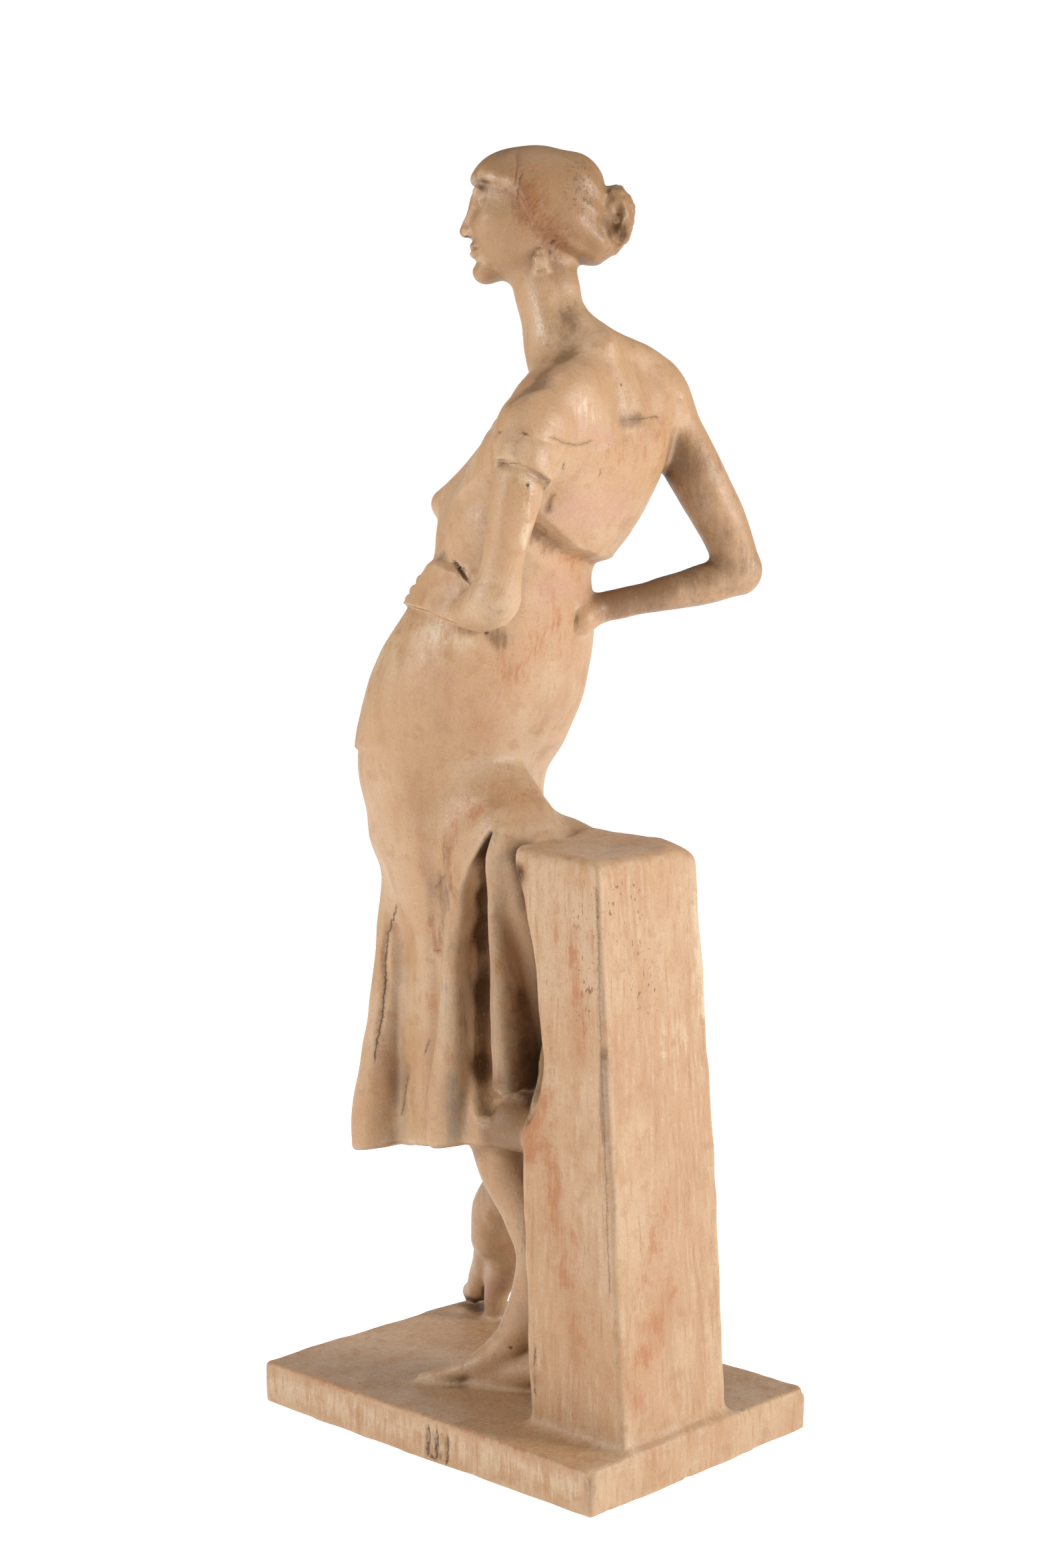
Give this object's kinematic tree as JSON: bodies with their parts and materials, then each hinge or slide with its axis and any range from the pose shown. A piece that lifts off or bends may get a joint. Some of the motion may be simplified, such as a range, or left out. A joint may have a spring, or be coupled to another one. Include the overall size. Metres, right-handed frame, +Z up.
{
  "type": "terracotta figure of a standing woman",
  "caption": "Fired-clay figure of a woman in a flounced 1920s dress leaning back on a square post, in one piece with its rectangular plinth.",
  "frame": {"origin": "middle of the plinth's flat underside", "axes": "+Z up; the figure faces -Y; her left side is +X"},
  "size_m": [0.1698, 0.216, 0.6112],
  "materials": {
    "terracotta": "fired clay, hand-modelled, with a dull waxed sheen"
  },
  "bodies": {
    "root": {"terracotta_figure": "terracotta"}
  },
  "joints": []
}
